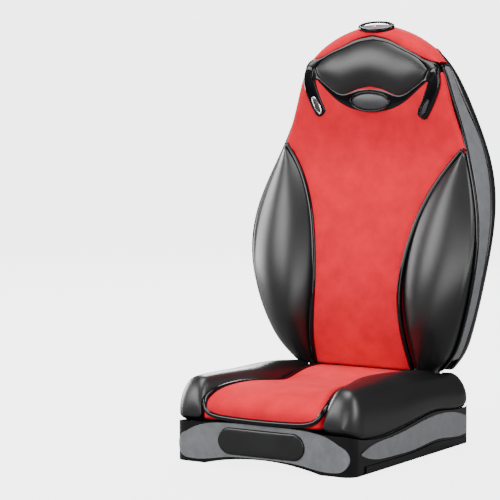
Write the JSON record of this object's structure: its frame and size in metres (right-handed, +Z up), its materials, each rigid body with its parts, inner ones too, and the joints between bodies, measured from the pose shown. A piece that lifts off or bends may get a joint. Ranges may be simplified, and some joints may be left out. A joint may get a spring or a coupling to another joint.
{
  "type": "racing seat",
  "caption": "Racing seat with a padded base that bolts to the floor, press-pad releases at its front and rear, and a winged bucket backrest that reclines.",
  "frame": {"origin": "middle of the base's underside, the centre of the rectangle of floor bolts, at floor level", "axes": "+Z up, -Y towards the front of the seat, +X to its right-hand side as seen from the front; rest pose has the backrest upright"},
  "size_m": [0.545, 0.5806, 0.887],
  "materials": {
    "satin_shell": "satin",
    "grey_panel": "matte",
    "gloss_trim": "gloss",
    "release_pad": "satin",
    "red_suede": "matte",
    "black_leather": "satin",
    "foam": "matte",
    "black_steel": "satin",
    "bare_steel": "satin",
    "cable_sheath": "matte",
    "washer": "satin",
    "chrome_ring": "polished",
    "badge_lens": "polished",
    "badge_grey": "satin"
  },
  "bodies": {
    "base": {"base_frame": "satin_shell", "front_panel": "grey_panel", "rear_panel": "grey_panel", "side_panel_left": "grey_panel", "side_panel_right": "grey_panel", "side_sill_left": "gloss_trim", "side_sill_right": "gloss_trim", "seat_pan": "black_steel", "floor_nuts": "bare_steel", "seat_centre_cushion": "red_suede", "seat_bolster_left": "black_leather", "seat_bolster_right": "black_leather", "seat_foam": "foam", "spring_rails": "black_steel", "seat_springs": "bare_steel", "recliner_bracket_left": "black_steel", "recliner_bracket_right": "black_steel", "pivot_bolt_left": "bare_steel", "pivot_bolt_right": "bare_steel", "front_release_guide": "satin_shell", "rear_release_guide": "satin_shell", "front_release_stops": "bare_steel", "rear_release_stops": "bare_steel", "release_cable_left": "cable_sheath", "release_cable_right": "cable_sheath", "friction_washer_left": "washer", "friction_washer_right": "washer", "hinge_cover_left": "satin_shell", "hinge_cover_right": "satin_shell"},
    "front_release": {"front_release_pad": "release_pad"},
    "rear_release": {"rear_release_pad": "release_pad"},
    "backrest": {"back_shell": "satin_shell", "side_band_left": "grey_panel", "side_band_right": "grey_panel", "back_carrier": "satin_shell", "shell_screws": "bare_steel", "back_centre_pad": "red_suede", "back_bolster_left": "black_leather", "back_bolster_right": "black_leather", "bolster_trim_left": "gloss_trim", "bolster_trim_right": "gloss_trim", "back_bezel": "gloss_trim", "headrest_pad": "black_leather", "headrest_surround": "gloss_trim", "headrest_badge": "badge_grey", "top_cap": "red_suede", "top_badge_ring": "chrome_ring", "top_badge_lens": "badge_lens", "rear_emblem_ring": "chrome_ring", "rear_emblem_disc": "badge_grey", "back_frame": "black_steel", "frame_saddles": "satin_shell", "recliner_arm_left": "black_steel", "recliner_arm_right": "black_steel"}
  },
  "joints": [
    {"name": "backrest_recline", "type": "hinge", "parent": "base", "child": "backrest", "pos_m": [0, 0.222, 0.166], "axis": [1, 0, 0], "range_deg": [-30, 0]},
    {"name": "front_release_press", "type": "slide", "parent": "base", "child": "front_release", "axis": [0, 1, 0], "range_m": [0, 0.006], "stiffness_N_per_m": 600},
    {"name": "rear_release_press", "type": "slide", "parent": "base", "child": "rear_release", "axis": [0, -1, 0], "range_m": [0, 0.006], "stiffness_N_per_m": 600}
  ]
}
